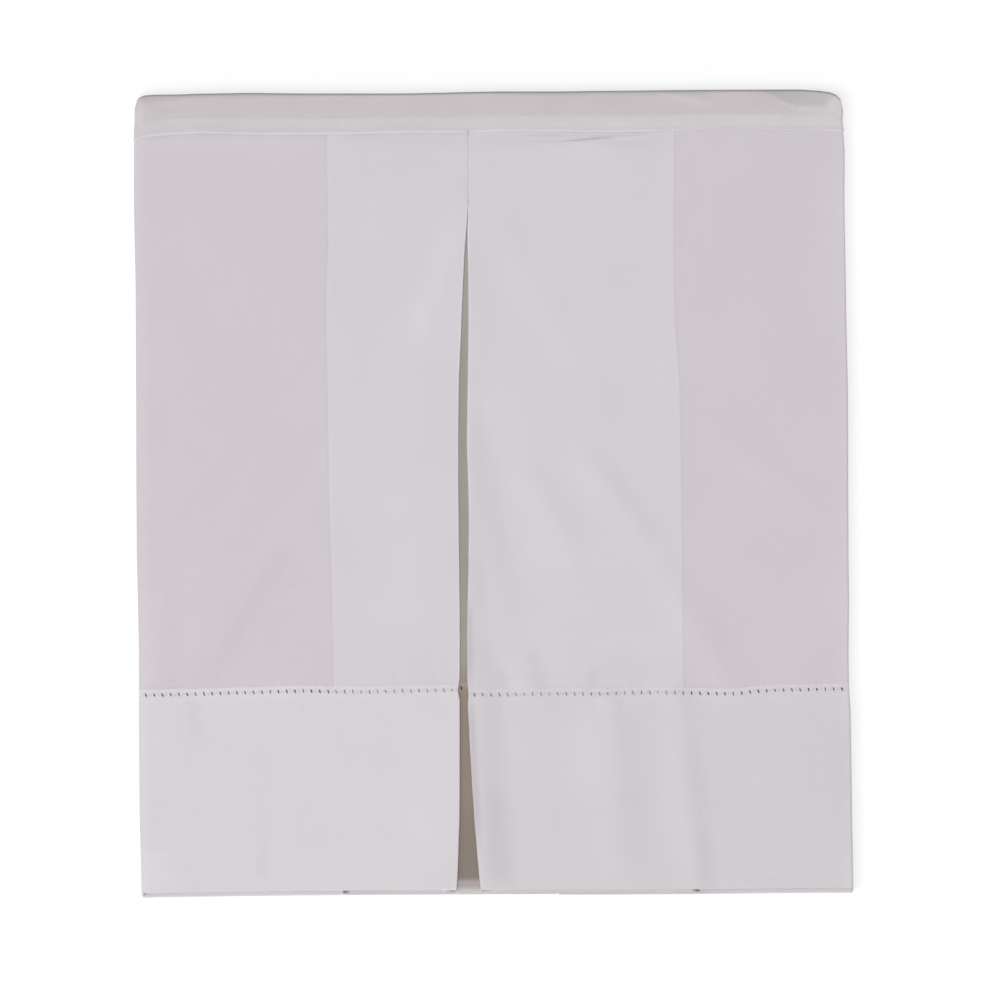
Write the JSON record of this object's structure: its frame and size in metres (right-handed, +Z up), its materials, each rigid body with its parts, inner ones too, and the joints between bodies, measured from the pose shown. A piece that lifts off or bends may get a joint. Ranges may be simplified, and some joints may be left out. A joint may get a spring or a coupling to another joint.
{
  "type": "folded bed skirt",
  "caption": "Bed skirt folded flat, face up: a white drop with an inverted pleat and a deep hemstitched hem, under an off-white deck band rolled over at the top.",
  "frame": {"origin": "on the surface it lies on, under the middle of the folded bundle", "axes": "+X across the skirt to the right of the face, +Y from the hem to the rolled deck, +Z up out of the face"},
  "size_m": [0.3595, 0.4039, 0.017],
  "materials": {
    "drop_cloth": "smooth plain-weave cotton, slightly sheer",
    "deck_cloth": "matt plain-weave cotton, warmer off-white"
  },
  "bodies": {
    "root": {"drop": "drop_cloth", "deck": "deck_cloth"}
  },
  "joints": []
}
